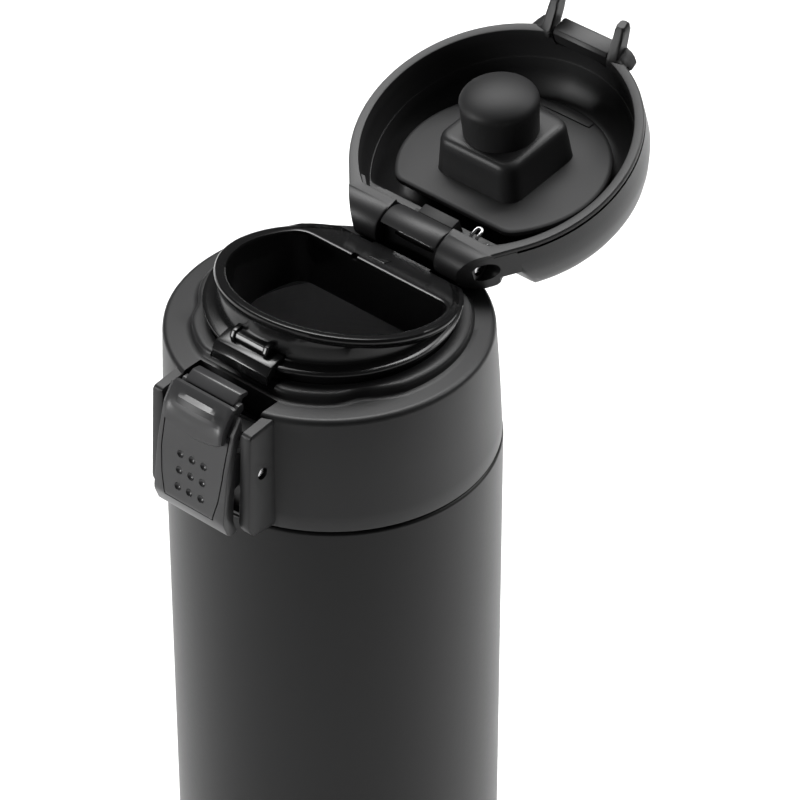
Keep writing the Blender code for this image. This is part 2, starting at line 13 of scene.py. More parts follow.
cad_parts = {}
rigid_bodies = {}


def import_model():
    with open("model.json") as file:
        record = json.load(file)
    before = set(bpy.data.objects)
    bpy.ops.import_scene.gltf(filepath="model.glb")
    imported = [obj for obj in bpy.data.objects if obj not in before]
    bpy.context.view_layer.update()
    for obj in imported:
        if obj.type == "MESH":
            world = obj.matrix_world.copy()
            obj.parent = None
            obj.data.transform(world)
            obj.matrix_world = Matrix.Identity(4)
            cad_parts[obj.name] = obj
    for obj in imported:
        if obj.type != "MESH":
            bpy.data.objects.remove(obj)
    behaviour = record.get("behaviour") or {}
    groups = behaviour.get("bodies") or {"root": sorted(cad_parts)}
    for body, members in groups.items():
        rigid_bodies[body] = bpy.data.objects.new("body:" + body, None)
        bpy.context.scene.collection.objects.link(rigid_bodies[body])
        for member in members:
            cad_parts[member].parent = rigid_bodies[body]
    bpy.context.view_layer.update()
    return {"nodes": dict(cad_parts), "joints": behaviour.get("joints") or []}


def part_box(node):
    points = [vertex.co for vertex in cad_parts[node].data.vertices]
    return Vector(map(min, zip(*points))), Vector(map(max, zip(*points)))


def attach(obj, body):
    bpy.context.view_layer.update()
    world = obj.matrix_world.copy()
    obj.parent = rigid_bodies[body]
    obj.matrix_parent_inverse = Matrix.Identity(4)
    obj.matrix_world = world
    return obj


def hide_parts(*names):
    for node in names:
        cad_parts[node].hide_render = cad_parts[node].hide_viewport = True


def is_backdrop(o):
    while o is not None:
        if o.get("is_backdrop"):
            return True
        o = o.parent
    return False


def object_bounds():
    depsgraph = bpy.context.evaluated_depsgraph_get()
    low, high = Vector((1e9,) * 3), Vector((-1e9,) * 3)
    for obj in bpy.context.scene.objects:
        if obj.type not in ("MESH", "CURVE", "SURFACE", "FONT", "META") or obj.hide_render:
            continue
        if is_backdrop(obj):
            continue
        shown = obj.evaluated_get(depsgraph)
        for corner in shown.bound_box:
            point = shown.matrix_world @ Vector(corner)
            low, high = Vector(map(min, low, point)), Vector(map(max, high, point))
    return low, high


for leftover in list(bpy.data.objects):
    bpy.data.objects.remove(leftover, do_unlink=True)
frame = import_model()

# %% [markdown]
# Sizes come from the frame. The seam between body and collar, the hinge line and the
# button's pivot are the places that everything else is measured from, so they are read
# once, in millimetres, and given names. Modelling in millimetres keeps the numbers
# readable and the merge distances safe; every finished piece is scaled to metres.

# %% Places to measure from
MM = 0.001


def joint(name):
    return next(j for j in frame["joints"] if j["name"] == name)


def node_box(node):
    low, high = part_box(node)
    return low / MM, high / MM


SEAM = round(node_box("collar")[0].z, 2)
BODY_R = round(node_box("outer_shell")[1].x, 2)
TOP = SEAM + 27.0                    # flat ledge that the shut lid rests over
HINGE = Vector(joint("lid_hinge")["pos_m"]) / MM
PIVOT = Vector(joint("button_press")["pos_m"]) / MM
LID_OPEN = radians(180 - joint("lid_hinge")["range_deg"][1])
LID_R = 30.4
LID_MID = 26.3                       # hinge line to the middle of the lid
HOLE_R = 28.3                        # the lid's hollow at its rim
RIM_N = 4.4                          # rim face above the hinge line
RIM_SLOPE = 0.23                     # fall of the spout's lip toward the hinge
LIP_UP, LIP_FRONT = 40.9, -24.0      # the lip's height above the seam at its front
LIP_GAP = 0.35                       # seal plate to lip with the lid shut
KNUCKLE_R = 4.7
KNUCKLE_HALF = 7.3
CHEEK_IN, CHEEK_OUT = 10.2, 13.0
print("seam", SEAM, "hinge", [round(v, 1) for v in HINGE], "lid", round(degrees(LID_OPEN), 1))


def lip_height(y):
    """Height of the spout's tilted lip at a distance y from the middle of the flask."""
    return SEAM + LIP_UP - RIM_SLOPE * (y - LIP_FRONT)


LID = Matrix.Translation(HINGE) @ Matrix.Rotation(LID_OPEN, 4, "X")
PLATE_N = HINGE.z - lip_height(HINGE.y - LID_MID) - LIP_GAP
PLATE = LID @ Matrix.Translation((0, LID_MID, PLATE_N)) @ Matrix.Rotation(-atan(RIM_SLOPE), 4, "X")

# %% [markdown]
# The camera looks down on the open lid from the right of the button. A long lens from
# almost a metre keeps the upright sides nearly parallel, as in a catalogue picture.

# %% Camera
VIEW_TURN = radians(41.2)
VIEW_TILT = radians(37.66)
VIEW_REACH = 900.0
AIM = Vector((9.9, 8.7, SEAM + 6.3))

bpy.ops.object.select_all(action="DESELECT")
back = Vector((sin(VIEW_TURN) * cos(VIEW_TILT), -cos(VIEW_TURN) * cos(VIEW_TILT), sin(VIEW_TILT)))
bpy.ops.object.camera_add(location=(AIM + back * VIEW_REACH) * MM)
camera = bpy.context.object
camera.rotation_euler = (-back).to_track_quat("-Z", "Y").to_euler()
camera.data.lens = 202.4
camera.data.clip_end = 20.0
bpy.context.scene.camera = camera
print("camera", [round(v, 3) for v in camera.location])

# %% [markdown]
# Every moulded part starts from a flat outline. It could be drawn point by point, but a
# real drawing gives corners and radii, so these helpers work the same way: an arc, a
# polygon with rounded corners, a level circle and the D that the spout and seal share.

# %% Helpers: outlines
def arc(cx, cy, r, start, stop, steps):
    """Points on a circle from one angle to another, in degrees."""
    return [(cx + r * cos(radians(start + (stop - start) * i / steps)),
             cy + r * sin(radians(start + (stop - start) * i / steps))) for i in range(steps + 1)]


def rounded(points):
    """Outline from (x, y) corners; a corner given as (x, y, r) is rounded to radius r."""
    out = []
    for i, p in enumerate(points):
        here = Vector(p[:2])
        if len(p) < 3:
            out.append(tuple(here))
            continue
        before = (Vector(points[i - 1][:2]) - here).normalized()
        after = (Vector(points[(i + 1) % len(points)][:2]) - here).normalized()
        half = acos(max(-1.0, min(1.0, before.dot(after)))) / 2
        reach = p[2] / tan(half)
        middle = here + (before + after).normalized() * p[2] / sin(half)
        first, last = here + before * reach - middle, here + after * reach - middle
        sweep = atan2(first.x * last.y - first.y * last.x, first.dot(last))
        steps = max(2, round(abs(degrees(sweep)) / 15))
        for k in range(steps + 1):
            a = sweep * k / steps
            out.append((middle.x + first.x * cos(a) - first.y * sin(a),
                        middle.y + first.x * sin(a) + first.y * cos(a)))
    return out


def ring(r, z, cy=0.0, count=160):
    """Level circle of points."""
    return [(r * cos(2 * pi * i / count), cy + r * sin(2 * pi * i / count), z) for i in range(count)]


def level(outline, z):
    return [(x, y, z) for x, y in outline]


def d_outline(r, cy, clip, corner, steps=96):
    """Circle of radius r about (0, cy), cut straight at y = clip, with rounded corners."""
    x = sqrt((r - corner) ** 2 - (clip + corner - cy) ** 2)
    lean = degrees(atan((cy - clip - corner) / x))
    return (arc(0, cy, r, -lean, 180 + lean, steps)
            + arc(-x, clip + corner, corner, 180 + lean, 270, 8)[1:]
            + arc(x, clip + corner, corner, -90, -lean, 8)[:-1])


# %% [markdown]
# Blender's tools work on what is selected, and a freshly loaded model is all selected. So
# these helpers clear the selection first, and after each shape they weld doubled points,
# drop loose edges and turn the faces outward, which every later step relies on.

# %% Helpers: selecting and cleaning
def alone(obj):
    """Leave one object selected and active."""
    bpy.ops.object.select_all(action="DESELECT")
    obj.select_set(True)
    bpy.context.view_layer.objects.active = obj
    return obj


def in_edit(obj):
    alone(obj)
    bpy.ops.object.mode_set(mode="EDIT")
    bpy.ops.mesh.select_mode(type="EDGE")
    bpy.ops.mesh.select_all(action="SELECT")


def tidy(obj, gap=0.001):
    """Merge doubles, turn the faces outward and go back to object mode."""
    bpy.ops.mesh.select_all(action="SELECT")
    bpy.ops.mesh.remove_doubles(threshold=gap)
    bpy.ops.mesh.delete_loose(use_verts=True, use_edges=True, use_faces=False)
    bpy.ops.mesh.select_all(action="SELECT")
    bpy.ops.mesh.normals_make_consistent(inside=False)
    bpy.ops.object.mode_set(mode="OBJECT")
    return obj


# %% [markdown]
# Moulded and spun parts come down to three shapes: a slab (an outline pulled straight
# out), a skin (outlines stacked and bridged) and a turned piece (an outline spun round).
# Each starts as a circle primitive whose points are moved onto the outline, and is then
# extruded, bridged or spun.

# %% Helpers: slab, skin and turned piece
def loop_of_points(name, points):
    """A circle primitive with its points moved onto the given ones."""
    bpy.ops.object.select_all(action="DESELECT")
    bpy.ops.mesh.primitive_circle_add(vertices=len(points), radius=1.0, location=(0, 0, 0))
    obj = bpy.context.object
    obj.name = name
    for vertex, point in zip(obj.data.vertices, points):
        vertex.co = point
    return obj


def slab(name, outline, low, high, lying="XY"):
    """Pull an outline straight out between two levels; lying="YZ" pulls it along X."""
    if lying == "YZ":
        points, pull = [(low, y, z) for y, z in outline], (high - low, 0, 0)
    else:
        points, pull = [(x, y, low) for x, y in outline], (0, 0, high - low)
    obj = loop_of_points(name, points)
    in_edit(obj)
    bpy.ops.mesh.edge_face_add()
    bpy.ops.mesh.extrude_region_move(TRANSFORM_OT_translate={"value": pull})
    return tidy(obj)


def skin(name, rings, closed=False):
    """Stack outlines of equal count and bridge each to the next."""
    count = len(rings[0])
    obj = loop_of_points(name, rings[0])
    bpy.ops.object.mode_set(mode="EDIT")
    for _ in rings[1:]:
        bpy.ops.mesh.primitive_circle_add(vertices=count, radius=1.0)
    bpy.ops.object.mode_set(mode="OBJECT")
    for vertex, point in zip(obj.data.vertices, [p for r in rings for p in r]):
        vertex.co = point
    pairs = [(k, k + 1) for k in range(len(rings) - 1)] + ([(len(rings) - 1, 0)] if closed else [])
    for pair in pairs:
        pick_rings(obj, count, pair)
        bpy.ops.mesh.bridge_edge_loops()
        bpy.ops.object.mode_set(mode="OBJECT")
    if not closed:
        for end in (0, len(rings) - 1):
            pick_rings(obj, count, (end,))
            bpy.ops.mesh.edge_face_add()
            bpy.ops.object.mode_set(mode="OBJECT")
    in_edit(obj)
    return tidy(obj)


def pick_rings(obj, count, rings):
    """Select the edges of whole rings of points."""
    in_edit(obj)
    bpy.ops.mesh.select_all(action="DESELECT")
    bpy.ops.object.mode_set(mode="OBJECT")
    for edge in obj.data.edges:
        a, b = (v // count for v in edge.vertices)
        edge.select = a == b and a in rings
    bpy.ops.object.mode_set(mode="EDIT")


def turned(name, outline, steps=128, centre=(0.0, 0.0)):
    """Spin a closed (radius, height) outline about the upright line through centre."""
    obj = loop_of_points(name, [(r, 0, z) for r, z in outline])
    in_edit(obj)
    bpy.ops.mesh.spin(steps=steps, angle=2 * pi, center=(0, 0, 0), axis=(0, 0, 1))
    bpy.ops.mesh.select_all(action="SELECT")
    bpy.ops.transform.translate(value=(*centre, 0))
    return tidy(obj)


# %% [markdown]
# Pins, ribs and pads lie across the flask, along X. A moulded bar never ends in a knife
# edge, so a bar's outline shrinks a little at both ends. Plain rods and blocks are cutters.

# %% Helpers: bars across the flask
def rod(name, y, z, r, x0, x1, count=48):
    """Round bar along X."""
    return slab(name, arc(y, z, r, 0, 360, count)[:-1], x0, x1, lying="YZ")


def bar(name, outline, x0, x1, lip):
    """A (y, z) outline pulled along X, its two ends rounded over by `lip`."""
    cy = (min(y for y, _ in outline) + max(y for y, _ in outline)) / 2
    cz = (min(z for _, z in outline) + max(z for _, z in outline)) / 2
    half = min(max(abs(y - cy) for y, _ in outline), max(abs(z - cz) for _, z in outline))
    turns = [(0.0, lip), (0.3 * lip, 0.3 * lip), (lip, 0.0)]
    ends = [(x0 + out, 1 - less / half) for out, less in turns]
    ends += [(x1 - out, 1 - less / half) for out, less in reversed(turns)]
    return skin(name, [[(x, cy + (y - cy) * k, cz + (z - cz) * k) for y, z in outline] for x, k in ends])


def block(name, low, high):
    """Box between two corners, as a cutter."""
    plan = [(low[0], low[1]), (high[0], low[1]), (high[0], high[1]), (low[0], high[1])]
    return slab(name, plan, low[2], high[2])


# %% [markdown]
# Holes, pockets and bosses are cut or joined with a boolean. The manifold solver is used
# because every shape here is closed, and it keeps the result closed as well.

# %% Helpers: cutting and joining
def combine(obj, tools, operation):
    for tool in tools:
        alone(obj)
        step = obj.modifiers.new("shape", "BOOLEAN")
        step.operation = operation
        step.solver = "MANIFOLD"
        step.object = tool
        bpy.ops.object.modifier_apply(modifier=step.name)
        bpy.data.objects.remove(tool, do_unlink=True)
    return obj


def cut(obj, *tools):
    return combine(obj, tools, "DIFFERENCE")


def join(obj, *tools):
    return combine(obj, tools, "UNION")


def soften(obj, width, segments=3, angle=38):
    """Round the sharp edges a little, as every mould does."""
    in_edit(obj)
    tidy(obj)
    alone(obj)
    step = obj.modifiers.new("edges", "BEVEL")
    step.width = width
    step.segments = segments
    step.limit_method = "ANGLE"
    step.angle_limit = radians(angle)
    step.use_clamp_overlap = True
    bpy.ops.object.modifier_apply(modifier=step.name)
    return obj


# %% [markdown]
# A finished piece is scaled from millimetres to metres and put in place inside its mesh,
# so its object stays at the origin. Then it is shaded, given its finish and tied to the body
# it moves with, and the part of the imported model that it replaces is hidden.

# %% Helpers: finishing a piece
def open_edges(obj):
    """How many edges don't join exactly two faces; a closed shell has none."""
    uses = {}
    for face in obj.data.polygons:
        for key in face.edge_keys:
            uses[key] = uses.get(key, 0) + 1
    return sum(1 for n in uses.values() if n != 2)


def finish(obj, body, slot, material, replaced, place=None, angle=32):
    """Scale to metres, put in place, shade, give the finish, tie the piece to its body and hide the parts it
    replaces.
    """
    alone(obj)
    obj.matrix_world = Matrix.Scale(MM, 4) @ (place or Matrix.Identity(4))
    bpy.ops.object.transform_apply(location=True, rotation=True, scale=True)
    bpy.ops.object.shade_smooth_by_angle(angle=radians(angle))
    obj.data.materials.clear()
    obj.data.materials.append(material)
    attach(obj, body)
    if replaced:
        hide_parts(*replaced)
    size = obj.dimensions / MM
    seams = open_edges(obj)
    print(f"{obj.name}: {size.x:.1f} x {size.y:.1f} x {size.z:.1f} mm, {len(obj.data.polygons)} faces, "
          f"{seams} open edges")
    return obj

# %% [markdown]
# A finish is a small network of shader nodes. One class wraps a socket so that shader
# maths can be written as ordinary sums, and another makes nodes from a type, its settings
# and its inputs. Patterns read Object coordinates, which here are metres.

# %% Shader helpers
class Signal:
    """A socket that can be added to and multiplied in an ordinary sum."""

    def __init__(self, finish, socket):
        self.finish, self.socket = finish, socket

    def maths(self, operation, first, second):
        return self.finish.node("ShaderNodeMath", {"operation": operation}, {0: first, 1: second})

    def __add__(self, other):
        return self.maths("ADD", self, other)

    def __mul__(self, other):
        return self.maths("MULTIPLY", self, other)

    __radd__ = __add__
    __rmul__ = __mul__


class Finish:
    """A material under construction."""

    def __init__(self, name, **constants):
        self.material = bpy.data.materials.new(name)
        self.material.use_nodes = True
        self.tree = self.material.node_tree
        self.shader = self.tree.nodes["Principled BSDF"]
        self.feed(self.shader, {key.replace("_", " "): value for key, value in constants.items()})
        self.place = self.node("ShaderNodeTexCoord", output="Object")

    def node(self, kind, settings=None, inputs=None, output=0):
        made = self.tree.nodes.new(kind)
        for key, value in (settings or {}).items():
            setattr(made, key, value)
        self.feed(made, inputs or {})
        return Signal(self, made.outputs[output])

    def feed(self, node, inputs):
        for key, value in inputs.items():
            if isinstance(value, Signal):
                self.tree.links.new(value.socket, node.inputs[key])
            else:
                node.inputs[key].default_value = value

    def grain(self, scale, detail=3.0, stretch=(1.0, 1.0, 1.0)):
        """Noise with `scale` cells to the metre, stretched along some axes."""
        where = self.node("ShaderNodeMapping", inputs={"Vector": self.place, "Scale": stretch})
        return self.node("ShaderNodeTexNoise", inputs={"Vector": where, "Scale": scale, "Detail": detail})

    def tone(self, mask, dark, light):
        """Base colour that runs between two greys."""
        mix = self.node("ShaderNodeMix", {"data_type": "RGBA"},
                        {"Factor": mask, 6: (*dark, 1), 7: (*light, 1)}, output=2)
        self.feed(self.shader, {"Base Color": mix})

    def relief(self, height, depth):
        """Bump whose full height is `depth` metres."""
        bump = self.node("ShaderNodeBump", inputs={"Height": height, "Distance": depth, "Strength": 1.0})
        self.feed(self.shader, {"Normal": bump})


# %% [markdown]
# Eight finishes cover the flask. The body is powder coated, which leaves a faint orange
# peel. The collar and lid are moulded in a satin plastic whose tool was spark eroded, and
# the spout in the same plastic from a polished tool. The button and its lock are glossy, and their
# base colour is set a shade lighter: a painted sheen, standing in for the light their faces reflect.
# Handling leaves smoother patches, so every roughness drifts a little from place to place.

# %% Finishes
def plastic(name, dark, light, rough, drift, texture, depth, shine=0.5):
    f = Finish(name, Specular_IOR_Level=shine)
    fine = f.grain(texture)
    handled = f.grain(38.0, 4.0)
    f.tone(handled, dark, light)
    f.feed(f.shader, {"Roughness": rough - drift / 2 + drift * handled + 0.04 * fine})
    f.relief(fine, depth)
    return f.material


def metal(name, colour, rough, lines, stretch, depth):
    f = Finish(name, Metallic=1.0)
    brushed = f.grain(lines, 5.0, stretch)
    f.tone(brushed, tuple(0.82 * c for c in colour), colour)
    f.feed(f.shader, {"Roughness": rough - 0.08 + 0.16 * brushed})
    f.relief(brushed, depth)
    return f.material


def grey(value):
    return (value, value, value * 1.03)


POWDER_COAT = plastic("powder_coat", grey(0.0075), grey(0.0105), 0.36, 0.05, 1100.0, 0.000006, 0.36)
SATIN = plastic("satin_moulding", grey(0.016), grey(0.021), 0.41, 0.07, 2600.0, 0.000010, 0.42)
POLISHED = plastic("polished_moulding", grey(0.008), grey(0.011), 0.16, 0.06, 700.0, 0.000002)
# Painted sheen: the button's lighter grey stands in for the light its glossy face reflects.
BUTTON_GLOSS_AND_PAINTED_SHEEN = plastic("button_moulding", grey(0.040), grey(0.052), 0.28, 0.06, 900.0, 0.000002, 0.6)
RUBBER = plastic("black_rubber", grey(0.016), grey(0.021), 0.52, 0.08, 1700.0, 0.000008, 0.36)
GREY_RUBBER = plastic("grey_rubber", grey(0.15), grey(0.18), 0.58, 0.10, 1700.0, 0.000008)
BRUSHED = metal("brushed_steel", (0.64, 0.64, 0.65), 0.50, 60.0, (1.0, 1.0, 60.0), 0.000004)
DRAWN_WIRE = metal("drawn_wire", (0.72, 0.72, 0.73), 0.24, 60.0, (1.0, 30.0, 30.0), 0.000002)
print(len([m for m in bpy.data.materials if m.use_nodes]), "finishes")

# %% [markdown]
# The bottle is drawn and spun from steel tube, so turning an outline is how it is really
# made. Its shoulder steps in to a threaded neck, and the shoulder's edge is rolled, which
# leaves the fine shadow line under the collar.

# %% Bottle
wall = rounded([(32.2, 4.4), (BODY_R, 4.4, 0.9), (BODY_R, SEAM - 0.5, 0.7),
                (28.2, SEAM - 0.5, 0.4), (27.6, SEAM + 17.1, 0.5), (26.7, SEAM + 17.1),
                (26.7, SEAM - 1.6, 0.4), (33.0, SEAM - 2.6, 0.8), (33.0, 6.2, 0.5), (32.2, 5.6)])
body_wall = turned("body_wall", wall, steps=192)


def screw_ridge(name, root, tip, base, turns, pitch=4.0, steps=36):
    """Thread: a trapezium carried round a helix, fading in and out at its ends."""
    rings = []
    for i in range(int(turns * steps) + 1):
        a = 0.4 + 2 * pi * i / steps
        z = base + pitch * i / steps
        crest = root + (tip - root) * max(0.12, min(1.0, i / 3, (turns * steps - i) / 3))
        rings.append([(r * cos(a), r * sin(a), z + up)
                      for r, up in ((root, -0.95), (crest, -0.5), (crest, 0.5), (root, 0.95))])
    return skin(name, rings)


join(body_wall, screw_ridge("neck_thread", 27.3, 28.7, SEAM + 5.0, 1.5))
finish(body_wall, "bottle", "black_paint", POWDER_COAT, ["outer_shell"])

liner = rounded([(0, 9.0), (24, 9.0, 6), (31.8, 14, 6), (31.8, SEAM - 8, 3), (26.3, SEAM - 3, 2),
                 (26.3, SEAM + 17.6), (27.4, SEAM + 17.6), (27.4, SEAM + 18.6, 0.5),
                 (25.5, SEAM + 18.6, 0.6), (25.4, SEAM - 3.4, 2), (31.0, SEAM - 8.6, 3),
                 (31.0, 14.4, 6), (23.8, 9.9, 6), (0, 9.9)])
finish(turned("steel_liner", liner), "bottle", "brushed_steel", BRUSHED, ["inner_liner"])

cap = rounded([(0, 3.2), (30.6, 3.2), (30.6, 0.9), (33.6, 0.9, 1.1), (33.6, 4.0, 0.35), (31.7, 4.1),
               (31.7, 7.6), (30.8, 7.6), (30.8, 4.4), (0, 4.4)])
finish(turned("base_cover", cap, steps=160), "bottle", "black_paint", POWDER_COAT, ["base_cap"])
foot = rounded([(0, 0), (24.0, 0, 0.4), (24.5, 0.5), (25.0, 0.5), (25.5, 0, 0.4), (30.0, 0, 0.7),
                (30.0, 2.8), (0, 2.8)])
finish(turned("base_foot", foot), "bottle", "black_silicone", RUBBER, ["base_pad"])

# %% [markdown]
# Most outlines on the stopper and lid are nearly round, so a skin through them needs the
# same number of points in each, facing the same way. Casting rays from one centre onto
# any outline gives that. A thread of smooth points makes the wave in the platform's edge.

# %% Helpers: matched outlines
def by_angle(outline, centre, count=180):
    """The outline as `count` points, one on each ray from the centre."""
    cx, cy = centre
    polar = sorted((atan2(y - cy, x - cx) % (2 * pi), x - cx, y - cy) for x, y in outline)
    out = []
    k = 0
    for i in range(count):
        a = 2 * pi * i / count
        while k < len(polar) and polar[k][0] <= a:
            k += 1
        (_, x0, y0), (_, x1, y1) = polar[k - 1], polar[k % len(polar)]
        dx, dy = x1 - x0, y1 - y0
        reach = (x0 * dy - y0 * dx) / (cos(a) * dy - sin(a) * dx)
        out.append((cx + reach * cos(a), cy + reach * sin(a)))
    return out


def flowing(points, steps=6):
    """Smooth line through points (Catmull-Rom)."""
    ends = [points[0]] + points + [points[-1]]
    out = []
    for i in range(1, len(ends) - 2):
        p0, p1, p2, p3 = (Vector(p) for p in ends[i - 1:i + 3])
        for k in range(steps):
            t = k / steps
            out.append(tuple(0.5 * (2 * p1 + (p2 - p0) * t + (2 * p0 - 5 * p1 + 4 * p2 - p3) * t * t
                                    + (3 * p1 - p0 - 3 * p2 + p3) * t ** 3)))
    return out + [points[-1]]


def swing_room(x0, x1, clear=0.4, steps=14):
    """Space swept by the rear of the lid's rim as it shuts, above the ledge."""
    rings = []
    for k in range(steps + 1):
        x = x0 + (x1 - x0) * k / steps
        edge = max(3.4, LID_MID - sqrt(HOLE_R ** 2 - x * x))
        reach = sqrt(edge ** 2 + RIM_N ** 2) + clear
        dip = asin((HINGE.z - TOP + 0.05) / reach)
        lean = degrees(dip)
        rings.append([(x, y, z) for y, z in arc(HINGE.y, HINGE.z, reach, -lean, 180 + lean, 32)])
    return skin("swing_room", rings)


def barrel(name, y, z, r, x0, x1, lip=0.0, count=64):
    """Round bar along X whose ends are rounded over by `lip`."""
    turns = [(0.0, lip), (0.3 * lip, 0.3 * lip), (lip, 0.0)] if lip else [(0.0, 0.0)]
    ends = [(x0 + out, r - less) for out, less in turns]
    ends += [(x1 - out, r - less) for out, less in reversed(turns)]
    return skin(name, [[(x, y + rr * cos(2 * pi * i / count), z + rr * sin(2 * pi * i / count))
                        for i in range(count)] for x, rr in ends])


# %% [markdown]
# The collar is one moulding: a drum that leans in slightly, a flat ledge for the lid, and
# a raised platform with a rolled edge and a hollow skirt. Two cheeks stand out at the front to
# carry the button, and the middle knuckle of the hinge stands up at the back. Stacked
# outlines make the drum and the platform, and what the mould's cores leave is cut away.

# %% Collar
WAVE = [(-25.9, -10.5), (-24.2, -13.0), (-22.2, -15.1), (-21.0, -17.0), (-19.8, -19.5), (-18.2, -21.4),
        (-15.5, -23.6), (-12.5, -25.4), (-10.0, -26.4)]


def platform(grow):
    """Edge of the raised platform, drawn in with a wave toward the button."""
    left = flowing(WAVE)
    edge = arc(0, -0.5, 28.0, -18, 198, 108) + left + [(-x, y) for x, y in left[::-1]]
    return by_angle([(x * (1 + grow / 28), y * (1 + grow / 28)) for x, y in edge], (0, -0.5))


drum = [(33.6, -0.3, 0.0), (33.88, -0.32, 0.16), (34.0, -0.35, 0.5), (33.9, -0.45, 4.0), (33.6, -0.7, 13),
        (33.0, -1.1, 25.7), (32.9, -1.15, 26.3), (32.6, -1.2, 26.7), (32.2, -1.2, 26.93), (31.7, -1.2, 27.0)]
collar = skin("collar_moulding", [ring(r, SEAM + up, cy, 180) for r, cy, up in drum])
rolled = [(1.5, 26.0), (1.3, 27.0), (0.7, 27.1), (0.3, 27.35), (0.1, 27.8), (0.05, 28.5), (-0.1, 28.85),
          (-0.35, 29.1), (-0.7, 29.25), (-1.2, 29.3)]
join(collar, skin("platform", [level(platform(grow), SEAM + up) for grow, up in rolled]))
cheek = rounded([(y, SEAM + up, r) for y, up, r in
                 ((-30.0, 0.6, 0.2), (-37.6, 0.9, 2.0), (-39.3, 3.4, 2.5), (-38.1, 25.6, 1.0),
                  (-34.0, 26.0, 3.0), (-30.0, 26.4, 0.2))])
for side in (-1, 1):
    low, high = sorted((side * CHEEK_IN, side * CHEEK_OUT))
    join(collar, bar("cheek", cheek, low, high, 0.35))
cut(collar, swing_room(KNUCKLE_HALF, 24.0), swing_room(-24.0, -KNUCKLE_HALF))
join(collar, barrel("knuckle", HINGE.y, HINGE.z, KNUCKLE_R, -KNUCKLE_HALF, KNUCKLE_HALF, 0.5),
     block("knuckle_foot", (-KNUCKLE_HALF, HINGE.y - 3.2, TOP - 2),
           (KNUCKLE_HALF, HINGE.y + 3.2, HINGE.z - 2)))
mouth_core = [(0, SEAM - 1), (29.4, SEAM - 1), (29.4, SEAM + 20.3), (24.9, SEAM + 20.3), (24.9, SEAM + 35),
              (0, SEAM + 35)]
pocket = [(-45, SEAM + 0.9), (-32.4, SEAM + 0.9), (-32.4, SEAM + 20.2), (-27.4, SEAM + 20.2),
          (-27.4, SEAM + 40), (-45, SEAM + 40)]
cut(collar, rod("pin_bore", HINGE.y, HINGE.z, 1.45, -12, 12), turned("mouth_core", mouth_core, 96),
    slab("pocket", pocket, -CHEEK_IN, CHEEK_IN, lying="YZ"),
    block("tab_room", (-8.4, -30, SEAM + 28.2), (8.4, -22, SEAM + 40)),
    rod("pin_bore", PIVOT.y, PIVOT.z, 1.3, -20, 20))
join(collar, screw_ridge("collar_thread", 29.7, 28.1, SEAM + 7.0, 1.5))
finish(collar, "stopper", "black_plastic", SATIN, ["collar"])

# %% [markdown]
# The spout is a glossy moulding that drops into the collar: a plug, a thin flange that
# rests on the platform, and a wall whose lip leans down toward the hinge. The opening is a
# D with its straight side at the hinge. All of it is one closed skin of matched rings,
# from the plug up the outside, over the rolled lip and down the D.

# %% Spout
SPOUT_MID = 1.7
D_EDGE = 12.6


def under_lip(points, below):
    """Drop any point that stands above the leaning lip plane."""
    return [(x, y, min(z, lip_height(y) - below)) for x, y, z in points]


def leaning(points, below):
    """Points put at an even depth under the leaning lip plane."""
    return [(p[0], p[1], lip_height(p[1]) - below) for p in points]


def mouth(grow):
    flipped = d_outline(22.0 + grow, -SPOUT_MID, -D_EDGE - grow, 4.0 + grow / 2)
    return by_angle([(x, -y) for x, y in flipped], (0, SPOUT_MID))


plug = [(24.5, 20.6), (24.5, 31.2), (25.45, 31.3), (25.7, 31.5), (25.75, 31.8), (25.65, 32.1), (25.3, 32.3),
        (24.8, 32.42), (23.9, 32.5), (23.45, 32.75), (23.25, 33.2), (23.2, 34.0)]
outside = [under_lip(ring(r, SEAM + up, 0.0 if up < 32.5 else 0.5, 180), 0.0) for r, up in plug]
outside.append(under_lip(ring(23.3, SEAM + 36.0, 1.0, 180), 0.0))
lip = [(23.7, 2.6), (23.85, 2.0), (24.15, 1.75), (24.4, 1.4), (24.5, 0.95), (24.42, 0.5), (24.15, 0.15),
       (23.75, 0.0)]
outside += [leaning(ring(r, 0, SPOUT_MID, 180), below) for r, below in lip]
inside = [leaning(mouth(grow), below) for grow, below in
          ((1.0, 0.0), (0.55, 0.05), (0.2, 0.22), (0.03, 0.55), (0.0, 1.0), (0.0, 2.5))]
inside.append(level(mouth(-0.3), SEAM + 28.0))
inside.append(level(mouth(-0.6), SEAM + 20.6))
spout = skin("spout_moulding", outside + inside, closed=True)

tab = rounded([(y, SEAM + up, r) for y, up, r in
               ((-22.0, 33.6, 0.2), (-26.0, 32.7, 0.8), (-27.2, 31.2, 0.7), (-27.2, 29.0, 0.3),
                (-26.3, 29.0, 0.2), (-26.1, 30.5, 0.3), (-22.0, 30.9, 0.2))])
join(spout, bar("spout_tab", tab, -7.3, 7.3, 0.3))
rib = rounded([(y, SEAM + up, r) for y, up, r in
               ((-21.5, 35.1, 0.2), (-23.9, 34.8, 0.35), (-24.3, 33.9, 0.35), (-24.0, 33.0, 0.2),
                (-21.5, 33.0, 0.2))])
join(spout, bar("tab_rib", rib, -4.4, 4.4, 0.2))
for side in (-1, 1):
    low, high = sorted((side * 3.6, side * 4.9))
    thick = rounded([(y, SEAM + up, r) for y, up, r in
                     ((-21.5, 35.6, 0.2), (-24.0, 35.2, 0.4), (-24.7, 33.9, 0.4), (-24.4, 32.8, 0.2),
                      (-21.5, 32.8, 0.2))])
    join(spout, bar("rib_end", thick, low, high, 0.25))
cut(spout, rod("hinge_well", HINGE.y, HINGE.z, KNUCKLE_R + 0.35, -30, 30, 64),
    swing_room(KNUCKLE_HALF + 0.1, 24.0), swing_room(-24.0, -KNUCKLE_HALF - 0.1))
